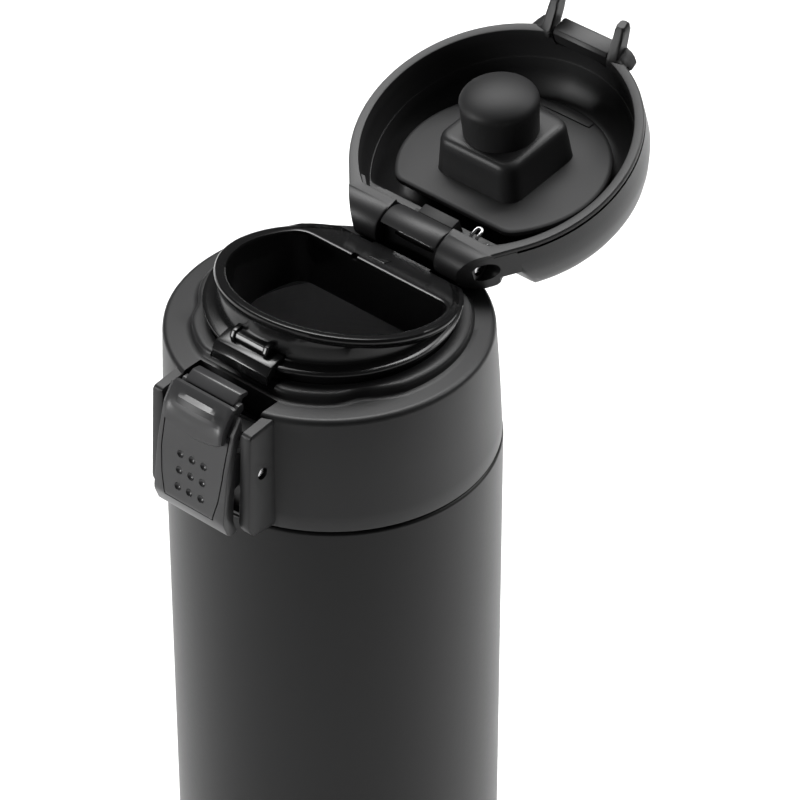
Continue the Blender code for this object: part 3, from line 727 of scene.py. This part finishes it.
deck = Matrix.Translation((0, D_EDGE, lip_height(D_EDGE))) @ Matrix.Rotation(-atan(RIM_SLOPE), 4, "X")
bump = rounded([(2.2, -0.6), (4.6, -0.6), (4.6, 0.2, 0.15), (2.2, 0.2, 0.15)])
bump = bar("deck_block", bump, -3.6, 0.4, 0.1)
bump.data.transform(deck)
join(spout, bump)
notch = block("edge_notch", (-6.6, -0.8, -1.2), (-5.0, 1.2, 1.0))
notch.data.transform(deck)
cut(spout, notch)
finish(spout, "stopper", "gloss_plastic", POLISHED, ["spout"])

# %% [markdown]
# Two steel pins carry the lid and the button, with a torsion coil round each. The pins
# are cut from bar, so their ends have a small chamfer. A coil is a circle swept round a
# helix, and the skin helper does that with one ring of points for each step.

# %% Pins and coils
def wire(name, path, r, sides=12):
    """Round wire that follows a path of points."""
    points = [Vector(p) for p in path]
    up = Vector((0.13, 0.31, 0.94)).normalized()
    rings = []
    for i, p in enumerate(points):
        along = (points[min(i + 1, len(points) - 1)] - points[max(i - 1, 0)]).normalized()
        across = along.cross(up).normalized()
        up = across.cross(along).normalized()
        rings.append([tuple(p + r * (cos(2 * pi * k / sides) * across + sin(2 * pi * k / sides) * up))
                      for k in range(sides)])
    return skin(name, rings)


finish(barrel("hinge_rod", HINGE.y, HINGE.z, 1.1, -15.6, 15.6, 0.25, 40),
       "stopper", "steel_wire", DRAWN_WIRE, ["hinge_pin"])
finish(barrel("button_rod", PIVOT.y, PIVOT.z, 1.05, -12.5, 12.5, 0.25, 40),
       "stopper", "steel_wire", DRAWN_WIRE, ["latch_pin"])
coil = [(8.2 + 1.05 * i / 20, 2.15 * cos(2 * pi * i / 20 - pi / 2), 2.15 * sin(2 * pi * i / 20 - pi / 2))
        for i in range(81)]
coil += [(12.5, 2.6, -2.15), (12.5, 4.6, -1.9), (12.5, 6.6, -1.5)]
clip = [(8.6, 5.6, -3.2), (8.6, 5.7, -1.2), (8.6, 5.9, -0.6), (8.6, 6.4, -0.3), (8.6, 7.8, -0.3),
        (8.8, 8.3, -0.3), (9.3, 8.5, -0.3), (9.8, 8.3, -0.3), (10.1, 7.8, -0.3), (10.1, 6.4, -0.3),
        (10.1, 5.9, -0.6), (10.1, 5.7, -1.2), (10.1, 5.6, -3.2)]
spring = join(wire("hinge_coil", coil, 0.4), wire("spring_clip", clip, 0.38))
finish(spring, "lid", "steel_wire", DRAWN_WIRE, ["hinge_spring"], LID)
coil = [(-3.0 + 1.2 * i / 20, PIVOT.y + 1.75 * cos(2 * pi * i / 20 + pi / 2),
         PIVOT.z + 1.75 * sin(2 * pi * i / 20 + pi / 2)) for i in range(81)]
finish(wire("button_coil", coil, 0.35), "stopper", "steel_wire", DRAWN_WIRE, ["latch_spring"])

# %% [markdown]
# The button is a rocking lever. Its outer face is a panel set into a thin frame, with a
# parting groove between them, a fold where the face turns in toward the top, and nine
# shallow dimples for the thumb. Behind it are two lugs for the pin and, at the top, the
# hook that holds the lid. The side view is cut out first, then the face is dressed.

# %% Button
BUTTON_HALF = 9.3
DIMPLE_GAP_X, DIMPLE_SINK = 3.07, 0.62
FACE_LINE = [(1.2, -40.6), (3.2, -42.0), (5.6, -42.3), (11.0, -41.6), (17.0, -40.7), (22.0, -39.7),
             (24.4, -38.9)]


def face_y(up):
    """How far out the button's face stands at a height above the seam."""
    for (u0, y0), (u1, y1) in zip(FACE_LINE, FACE_LINE[1:]):
        if up <= u1:
            return y0 + (y1 - y0) * (up - u0) / (u1 - u0)
    return FACE_LINE[-1][1]


side_view = rounded([(y, SEAM + up, r) for y, up, r in
                     ((-38.6, 1.2, 0.2), (-41.2, 1.2, 1.2), (-42.6, 5.0, 3.0), (-41.0, 16.0, 20.0),
                      (-38.9, 24.4, 1.2), (-36.6, 27.8, 1.5), (-35.2, 28.9, 0.5), (-33.9, 28.9, 0.3),
                      (-33.9, 27.4, 0.3), (-35.2, 26.6, 0.5), (-36.8, 24.0, 1.0), (-38.2, 20.0, 4.0),
                      (-38.8, 14.0, 4.0), (-39.4, 8.0, 4.0), (-39.6, 4.2, 1.5))])
lever = slab("button_moulding", side_view, -BUTTON_HALF, BUTTON_HALF, lying="YZ")
soften(lever, 0.35, 3, 60)
panel_edge = [(-8.45, SEAM + 24.0), (8.45, SEAM + 24.0), (8.2, SEAM + 14.8), (7.6, SEAM + 9.4),
              (6.4, SEAM + 4.6), (-6.4, SEAM + 4.6), (-7.6, SEAM + 9.4), (-8.2, SEAM + 14.8)]


def facing_ring(name, edge, width, back, front):
    """A frame-shaped cutter that faces along Y."""
    outer = slab(name, edge, -front, -back)
    smaller = [(x * (1 - width / 8), (z - SEAM - 14) * (1 - width / 10) + SEAM + 14) for x, z in edge]
    inner = slab(name, smaller, -front - 1, -back + 1)
    cut(outer, inner)
    turn = Matrix(((1, 0, 0, 0), (0, 0, 1, 0), (0, 1, 0, 0), (0, 0, 0, 1)))
    outer.data.transform(turn)
    in_edit(outer)
    return tidy(outer)


groove = facing_ring("parting_groove", panel_edge, 0.28, 40.0, 44.0)
for vertex in groove.data.vertices:
    if vertex.co.y > -42:
        vertex.co.y = face_y(vertex.co.z - SEAM) + 0.45
cut(lever, groove)
for row in (15.5, 11.8, 8.1):
    for column in (-DIMPLE_GAP_X, 0.0, DIMPLE_GAP_X):
        bpy.ops.object.select_all(action="DESELECT")
        bpy.ops.mesh.primitive_uv_sphere_add(segments=24, ring_count=16, radius=1.0,
                                             location=(column, face_y(row) - DIMPLE_SINK, SEAM + row))
        dimple = bpy.context.object
        in_edit(dimple)
        tidy(dimple)
        bpy.ops.object.transform_apply(location=True)
        cut(lever, dimple)
for side in (-1, 1):
    low, high = sorted((side * 7.3, side * 12))
    cut(lever, block("ear_room", (low, -36.6, SEAM + 20), (high, -30, SEAM + 35)))
    lug = rounded([(-39.6, PIVOT.z - 4), (PIVOT.y + 1.3, PIVOT.z - 1.9, 0.8), (PIVOT.y + 2.1, PIVOT.z, 1.5),
                   (PIVOT.y + 1.3, PIVOT.z + 1.9, 0.8), (-38.4, PIVOT.z + 5)])
    low, high = sorted((side * 6.0, side * 9.0))
    join(lever, slab("lug", lug, low, high, lying="YZ"))
hook = rounded([(y, SEAM + up, r) for y, up, r in
                ((-35.6, 27.8, 0.2), (-33.4, 28.4, 0.2), (-32.9, 29.2, 0.2), (-31.1, 29.2, 0.3),
                 (-31.7, 30.1, 0.4), (-33.6, 30.4, 0.8), (-35.9, 28.9, 0.4))])
join(lever, bar("hook", hook, -6.4, 6.4, 0.3))
cut(lever, rod("bore", PIVOT.y, PIVOT.z, 1.25, -20, 20))
# The button takes the lighter grey, a painted sheen for the light its face reflects.
finish(lever, "button", "gloss_plastic", BUTTON_GLOSS_AND_PAINTED_SHEEN, ["button_lever"])

# %% [markdown]
# The lock slides over the fold of the button; pushed down, it stops the button from
# rocking. It is a thin shell with a bowed lower edge and a lens-shaped grip, so its side
# view changes all along X: 25 side views are worked out and bridged into one skin.

# %% Lock slider
SLIDER_HALF, STATIONS = 7.7, 25

slider_stations = []
for i in range(STATIONS):
    x = -SLIDER_HALF + 2 * SLIDER_HALF * i / (STATIONS - 1)
    share = 1 - (x / SLIDER_HALF) ** 2
    bow = 1.6 * share
    ridge = 1.0 * max(0.0, 1 - (x / 6.6) ** 2) ** 0.7
    edge = 0.25 if i in (0, STATIONS - 1) else 0.0
    points = [(-39.9, 22.4 - bow), (-40.7 + edge, 22.3 - bow + edge), (-41.1 + edge, 22.8 - bow + edge),
              (-40.75 + edge, 24.3), (-40.3 + edge, 25.4), (-40.0 + edge - 0.35 * ridge, 26.0),
              (-39.6 + edge - ridge, 26.6 + 0.5 * ridge), (-39.0 + edge - 0.85 * ridge, 27.5 + 0.6 * ridge),
              (-38.5 + edge, 28.1 + 0.2 * ridge), (-37.9 + edge, 28.9 - edge), (-37.2, 29.35 - edge),
              (-36.5, 29.3 - edge), (-36.7, 28.2), (-38.65, 24.9), (-39.3, 23.4)]
    slider_stations.append([(x, y, SEAM + up) for y, up in points])
slider = skin("lock_plate", slider_stations)
# The lock takes the button's lighter grey too, a painted sheen for the light it reflects.
finish(slider, "slider", "black_plastic", BUTTON_GLOSS_AND_PAINTED_SHEEN, ["lock_slider"])

# %% [markdown]
# The lid is modelled lying flat in its own coordinates, with the hinge line as x, the way
# out along the open lid as y and the way out of its hollow as z, and set in place at the
# end. Its plan is a circle whose sides run off straight to the hinge. The frame is a
# single skin: up the cup, over the narrow rim and down into the hollow.

# %% Lid frame
TURN = 40.7                          # where the straight sides leave the circle, in degrees
CATCH_ROOM = ((-7.3, 53.6, 1.3), (7.3, 70, 20))


def side_x(r, y):
    """Where the lid's straight side stands at a distance y from the hinge line."""
    return (r + (y - LID_MID) * sin(radians(TURN))) / cos(radians(TURN))


def plan(r, low):
    """Lid outline of radius r that stops at y = low."""
    round_part = arc(0, LID_MID, r, -TURN, 180 + TURN, 120)
    return by_angle(rounded(round_part + [(-side_x(r, low), low, 0.35), (side_x(r, low), low, 0.35)]),
                    (0, LID_MID), 240)


def hole(r, clip, corner):
    return by_angle(d_outline(r, LID_MID, clip, corner), (0, LID_MID), 240)


cup = [(21.6, 12.6, 2, -11.6), (23.8, 10.8, 2, -10.9), (26.4, 9.2, 2, -8.5), (27.9, 8.0, 2, -5.9),
       (28.5, 7.4, 2, -4.5), (28.6, 2.7, 2, -4.0), (28.75, 2.6, 2, 1.4)]
stack = [level(hole(r, clip, corner), n) for r, clip, corner, n in cup]
rim = [(29.3, 0.9, 2.2), (29.6, 0.7, 3.15), (29.75, 0.55, 3.4), (30.25, 0.1, 3.45), (30.4, 0.0, 3.58),
       (30.4, 0.0, 4.02), (30.32, 0.08, 4.25), (30.1, 0.3, 4.4)]
stack += [level(plan(r, low), n) for r, low, n in rim]
hollow = [(28.65, 3.05, 1.4, 4.39), (28.42, 3.28, 1.5, 4.32), (28.3, 3.4, 1.5, 4.1), (28.1, 3.4, 1.5, 1.5),
          (27.8, 3.4, 1.5, -2.6), (27.6, 3.7, 1.6, -2.95), (27.5, 8.0, 1.8, -3.0), (27.4, 8.3, 2, -3.2),
          (27.0, 9.0, 2, -5.6), (25.7, 10.0, 2, -8.0), (23.3, 11.8, 2, -10.1),
          (21.9, 13.2, 2, -10.7)]
stack += [level(hole(r, clip, corner), n) for r, clip, corner, n in hollow]
lid = skin("lid_moulding", stack)
join(lid, block("shelf", (-16.6, 3.0, -3.9), (16.6, 8.2, -3.0)))


def end_room(side):
    """What lies outside the lid's straight side, to trim a knuckle's end."""
    corners = [(side_x(LID_R, -7.0), -7.0), (30.0, -7.0), (30.0, 7.0), (side_x(LID_R, 7.0), 7.0)]
    return slab("end_room", [(side * x, y) for x, y in corners], -7.0, 7.0)


for side in (-1, 1):
    low, high = sorted((side * (KNUCKLE_HALF + 0.3), side * 19.0))
    join(lid, barrel("lid_knuckle", 0, 0, KNUCKLE_R, low, high, 0.5))
    wing = [(15.0, 0.0), (19.0, 0.0), (23.9, 5.4), (18.0, 5.4), (16.2, 3.8)]
    join(lid, slab("wing", [(side * x, y) for x, y in wing], -2.7, 3.4))
    cut(lid, end_room(side))
cut(lid, block("notch", (-KNUCKLE_HALF - 0.3, -9, -20), (KNUCKLE_HALF + 0.3, 5.3, 20)))
ear_levels = [(3.3, 13.2, 52.8, 57.0), (4.0, 12.4, 53.0, 57.6), (4.5, 11.4, 53.3, 58.0),
              (4.8, 10.0, 53.6, 58.3), (6.4, 9.9, 55.0, 59.6), (8.2, 9.8, 56.7, 60.8),
              (9.3, 9.7, 57.7, 60.9), (9.85, 9.4, 58.4, 60.4)]
for side in (-1, 1):
    ear = []
    for n, wide, near, far in ear_levels:
        corners = [(7.4, near, 0.3), (wide, near + 0.35 * (wide - 9.3), 0.5), (wide - 0.4, far - 0.2, 0.5),
                   (7.5, far, 0.5)]
        points = by_angle(rounded(corners), ((7.4 + wide) / 2, (near + far) / 2), 40)
        ear.append(level([(side * x, y) for x, y in points], n))
    join(lid, skin("ear", ear))
cut(lid, block("catch_room", *CATCH_ROOM), rod("bore", 0, 0, 1.45, -15.9, 15.9))
for side in (-1, 1):
    low, high = sorted((side * 15.8, side * 26.0))
    cut(lid, rod("recess", 0, 0, 2.3, low, high))
cut(lid, rod("coil_room", 0, 0, 3.0, KNUCKLE_HALF - 1, 13.6),
    block("leg_room", (11.6, 0, -3.0), (13.3, 7.3, 0.2)))
finish(lid, "lid", "black_plastic", SATIN, ["lid_frame"], LID)

# %% [markdown]
# The cover is a second moulding pressed over the frame from outside. Only a hairline and
# a shadow gap under the rim show where the two meet. It is a shallow dish with a well
# rounded edge, so its outlines draw in faster and faster toward the flat top.

# %% Lid cover
dish = [(30.0, 2.22), (30.2, 2.75), (30.4, 2.9), (30.4, 0.0), (30.35, -3.0)]
outer = [level(plan(r, 5.3), n) for r, n in dish]
bend = [(10, 29.9, 6.2), (22, 29.4, 7.4), (34, 28.7, 8.6), (46, 27.6, 9.9), (58, 26.1, 11.3),
        (70, 24.2, 13.2), (80, 22.2, 15.4), (90, 20.0, 18.0)]
outer += [level(plan(r, low), -3.2 - 9.9 * sin(radians(a))) for a, r, low in bend]
inner = [(21.9, 12.4, -12.0), (24.3, 10.8, -11.2), (26.9, 9.2, -8.8), (28.6, 8.2, -6.1), (29.2, 7.4, -3.2),
         (29.35, 6.9, 1.0), (29.5, 6.9, 2.2)]
lid_cover = skin("lid_shell", [level(hole(r, clip, 2.0), n) for r, clip, n in inner] + outer)
cut(lid_cover, skin("shelf_room", [level(hole(28.9, 2.3, 1.5), n) for n in (-4.7, 6.0)]),
    block("catch_room", *CATCH_ROOM))
finish(lid_cover, "lid", "black_plastic", SATIN, ["lid_cover"], LID)

# %% [markdown]
# The catch is a bar between two ears. The button's hook reaches over it, so its outer
# edge is thinned to a nose.

# %% Catch bar
nose = rounded([(53.9, 1.6, 0.2), (55.5, 1.6, 0.3), (56.3, 3.1, 0.4), (58.4, 3.1, 0.3), (58.4, 4.6, 0.5),
                (57.9, 5.0, 0.3), (54.6, 5.0, 0.3), (53.9, 4.3, 0.2)])
finish(bar("catch_bar", nose, -7.0, 7.0, 0.25), "lid", "black_plastic", SATIN,
       ["lid_catch"], LID)

# %% [markdown]
# Inside the lid hangs the seal: a rubber D-plate that closes the spout's lip, a square
# pedestal on it, and a domed rubber plug on that. The plate leans to match the lip. Each
# is a stack of outlines; the plug is turned.

# %% Seal
def square(half, corner, cy):
    points = rounded([(half, cy - half, corner), (half, cy + half, corner), (-half, cy + half, corner),
                      (-half, cy - half, corner)])
    return by_angle(points, (0, cy), 120)


boss = [level([(x, y + LID_MID) for x, y in arc(0, 0, 9.0, 0, 360, 72)[:-1]], -10.4),
        [(x, y + LID_MID, PLATE_N - 2.0 - RIM_SLOPE * y) for x, y in arc(0, 0, 9.0, 0, 360, 72)[:-1]]]
finish(skin("seal_boss", boss), "lid", "black_plastic", SATIN, ["seal_carrier"], LID)
edge = [(21.2, -1.6), (21.8, -1.5), (22.1, -1.25), (22.2, -0.8), (22.1, -0.35), (21.8, -0.1), (21.3, 0.0)]
rings = [level(by_angle(d_outline(r, 0, -16.6 + 22.2 - r, 4.0), (0, 0)), n) for r, n in edge]
seal = skin("seal_disc", rings)
clip = rounded([(18.6, -0.4), (20.4, -0.4), (20.4, 0.28, 0.15), (18.6, 0.28, 0.15)])
join(seal, bar("clip_bar", clip, -7.6, 7.2, 0.2))
finish(seal, "lid", "black_silicone", RUBBER, ["seal_plate"], PLATE)
block_sides = [(10.7, 3.3, -0.1), (10.6, 3.3, 0.5), (10.1, 3.2, 5.8), (9.95, 3.1, 7.2), (9.7, 3.0, 7.9),
               (9.3, 2.9, 8.35), (8.8, 2.7, 8.56), (8.0, 2.4, 8.62)]
finish(skin("seal_block", [level(square(h, c, 0.6), n) for h, c, n in block_sides]), "lid", "black_plastic",
       SATIN, ["seal_pedestal"], PLATE)
plug = [(0, 8.3), (7.8, 8.3), (7.85, 9.5), (8.0, 13.0), (8.15, 15.4), (8.2, 15.9), (8.12, 16.4), (7.9, 16.9),
        (7.45, 17.4), (6.8, 17.9), (5.8, 18.42), (4.6, 18.85), (3.2, 19.2), (1.6, 19.43), (0, 19.5)]
finish(turned("seal_plug", plug, 96), "lid", "black_silicone", RUBBER, ["seal_knob"], PLATE, angle=40)

# %% [markdown]
# A small rubber pad sits in the lid's notch at the hinge, where the open lid comes near
# the collar. It is a bar with a rounded top and a nub at one end.

# %% Bumper
pad = rounded([(4.9, -3.05), (7.7, -3.05), (7.7, 0.35, 0.3), (5.2, 0.45, 0.3), (4.9, 0.1, 0.2)])
bumper = bar("stop_pad", pad, -4.5, 4.5, 0.2)
nub = bar("nub", rounded([(4.9, -3.05), (5.9, -3.05), (5.9, 0.2, 0.2), (4.9, 0.2, 0.2)]), -5.6, -4.3, 0.12)
join(bumper, nub)
finish(bumper, "lid", "black_silicone", RUBBER, ["lid_bumper"], LID)

# %% [markdown]
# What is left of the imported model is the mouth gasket, hidden inside. Its shape is right
# already, so it only takes a finish.

# %% Finishes for the parts that stay
SLOT_FINISH = {"black_paint": POWDER_COAT, "brushed_steel": BRUSHED, "steel_wire": DRAWN_WIRE,
               "black_plastic": SATIN, "gloss_plastic": POLISHED, "black_silicone": RUBBER,
               "grey_silicone": GREY_RUBBER}
for name, node in frame["nodes"].items():
    if not node.hide_render:
        for place_in_list, material in enumerate(node.data.materials):
            node.data.materials[place_in_list] = SLOT_FINISH[material.name.split(".")[0]]
        print(name, "keeps its shape")

# %% [markdown]
# A pale floor and a white surround give the clean catalogue look. A glossy black object
# shows only what it reflects, and an upright wall seen from above reflects the floor. So
# the floor is lit behind the flask, where it whitens the background and draws the long
# edge lights down the body, and is left dim in front, where the black has to stay deep. A
# softbox high on the left lights the lid's rim, and a small lamp fills the button. The
# world looks white to the camera and gives little light, or the black would turn grey.

# %% Floor and lights
bpy.ops.object.select_all(action="DESELECT")
bpy.ops.mesh.primitive_plane_add(size=6.0, location=(0, 0, 0))
floor = bpy.context.object
floor.name = "floor"
floor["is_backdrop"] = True
paper = Finish("pale_floor", Specular_IOR_Level=0.1)
cloud = paper.grain(6.0)
paper.tone(cloud, (0.90, 0.90, 0.90), (0.93, 0.93, 0.93))
paper.feed(paper.shader, {"Roughness": 0.85 + 0.1 * cloud})
floor.data.materials.append(paper.material)

HIDDEN_SKY = 0.04                    # how bright the world is to all but the camera

world = bpy.data.worlds.new("studio")
bpy.context.scene.world = world
world.use_nodes = True
sky = world.node_tree.nodes["Background"]
sky.inputs["Color"].default_value = (1, 1, 1, 1)
seen = world.node_tree.nodes.new("ShaderNodeLightPath")
sky_level = world.node_tree.nodes.new("ShaderNodeMapRange")
sky_level.inputs["To Min"].default_value = HIDDEN_SKY
sky_level.inputs["To Max"].default_value = 1.0
world.node_tree.links.new(seen.outputs["Is Camera Ray"], sky_level.inputs["Value"])
world.node_tree.links.new(sky_level.outputs["Result"], sky.inputs["Strength"])

RIGHT = Vector((cos(VIEW_TURN), sin(VIEW_TURN), 0))
BEHIND = Vector((-sin(VIEW_TURN), cos(VIEW_TURN), 0))
UP = Vector((0, 0, 1))
# name, place and target in metres, size in metres, power in watts, spread in degrees
LAMPS = (("floor_wash", 1.0 * BEHIND + 0.15 * RIGHT + 1.7 * UP, 0.75 * BEHIND + 0.1 * RIGHT,
          (1.6, 0.9), 13.0, 75),
         ("edge_wash", 0.35 * BEHIND + 0.9 * RIGHT + 0.9 * UP, 0.15 * BEHIND + 0.45 * RIGHT,
          (0.8, 0.5), 2.2, 70),
         ("rim_softbox", Vector((-0.75, 0.2, 1.45)), Vector((0, 0, 0.2)), (0.8, 0.8), 3.5, 120),
         ("button_fill", Vector((-0.7, -1.1, 0.35)), Vector((0, -0.03, 0.19)), (0.5, 0.5), 2.2, 90))
for name, place, target, size, power, spread in LAMPS:
    bpy.ops.object.light_add(type="AREA", location=place)
    lamp = bpy.context.object
    lamp.name = name
    lamp.data.shape = "RECTANGLE"
    lamp.data.size, lamp.data.size_y = size
    lamp.data.energy = power
    lamp.data.spread = radians(spread)
    lamp.rotation_euler = (place - target).to_track_quat("Z", "Y").to_euler()

bpy.context.scene.view_settings.view_transform = "Standard"

# %% [markdown]
# The finished model's overall size, leaving out the floor, is printed in millimetres.

# %% Overall size
low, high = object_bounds()
print("visual model", [round((b - a) / MM, 1) for a, b in zip(low, high)], "mm")
